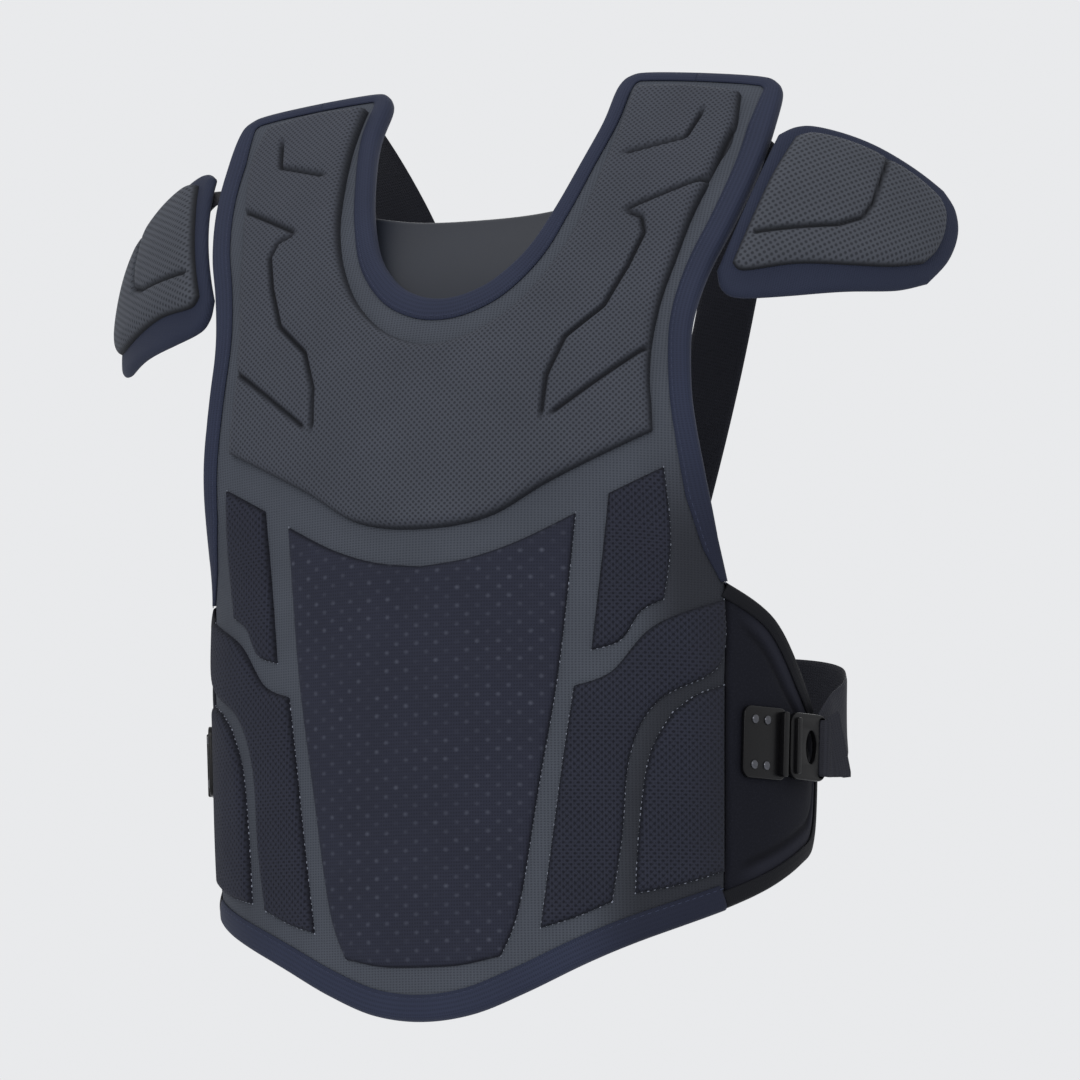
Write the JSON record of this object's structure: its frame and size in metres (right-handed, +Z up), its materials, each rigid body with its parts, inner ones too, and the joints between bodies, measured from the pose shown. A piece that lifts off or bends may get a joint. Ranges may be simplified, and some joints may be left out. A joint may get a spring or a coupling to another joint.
{
  "type": "catcher chest protector",
  "caption": "Moulded foam chest protector that hangs on the shoulders, with raised chest and belly pads, shoulder caps, side wings and a buckled back strap.",
  "frame": {"origin": "shoulder seat: midway between the tops of the wearer's shoulders, where the flaps rest", "axes": "+Z up along the body, -Y the way the wearer faces, +X towards the wearer's left"},
  "size_m": [0.5556, 0.267, 0.5865],
  "materials": {
    "moulded_foam_shell": "matte knit heat-pressed over foam, slate grey",
    "dimpled_foam_cover": "matte dimpled knit heat-pressed over foam, charcoal grey",
    "smooth_foam_cover": "smooth satin coated fabric, charcoal grey",
    "knitted_mesh": "open spacer mesh with a dotted knit, dark navy",
    "navy_binding": "matte folded tape and edge cloth, navy",
    "wing_fabric": "matte brushed knit, near black",
    "black_plastic": "moulded satin nylon, black",
    "black_webbing": "woven elastic and webbing, black"
  },
  "bodies": {
    "root": {"vest_chest": "moulded_foam_shell", "vest_chest_side_left": "moulded_foam_shell", "vest_chest_side_right": "moulded_foam_shell", "vest_belly": "moulded_foam_shell", "vest_belly_side_left": "moulded_foam_shell", "vest_belly_side_right": "moulded_foam_shell", "vest_flap_left": "moulded_foam_shell", "vest_flap_right": "moulded_foam_shell", "neck_binding": "navy_binding", "hem_binding": "navy_binding", "chest_pad": "dimpled_foam_cover", "belly_panel_center": "knitted_mesh", "throat_guard": "smooth_foam_cover", "arm_binding_left": "navy_binding", "belly_panel_upper_left": "knitted_mesh", "belly_panel_lower_left": "knitted_mesh", "belly_panel_outer_left": "knitted_mesh", "wing_left": "wing_fabric", "wing_binding_left": "wing_fabric", "shoulder_cap_left": "navy_binding", "shoulder_cap_pad_left": "dimpled_foam_cover", "cap_tab_left": "black_webbing", "buckle_plate_left": "black_plastic", "buckle_hook_left": "black_plastic", "shoulder_strap_left": "black_webbing", "arm_binding_right": "navy_binding", "belly_panel_upper_right": "knitted_mesh", "belly_panel_lower_right": "knitted_mesh", "belly_panel_outer_right": "knitted_mesh", "wing_right": "wing_fabric", "wing_binding_right": "wing_fabric", "shoulder_cap_right": "navy_binding", "shoulder_cap_pad_right": "dimpled_foam_cover", "cap_tab_right": "black_webbing", "buckle_plate_right": "black_plastic", "buckle_hook_right": "black_plastic", "shoulder_strap_right": "black_webbing", "waist_strap": "black_webbing"}
  },
  "joints": []
}
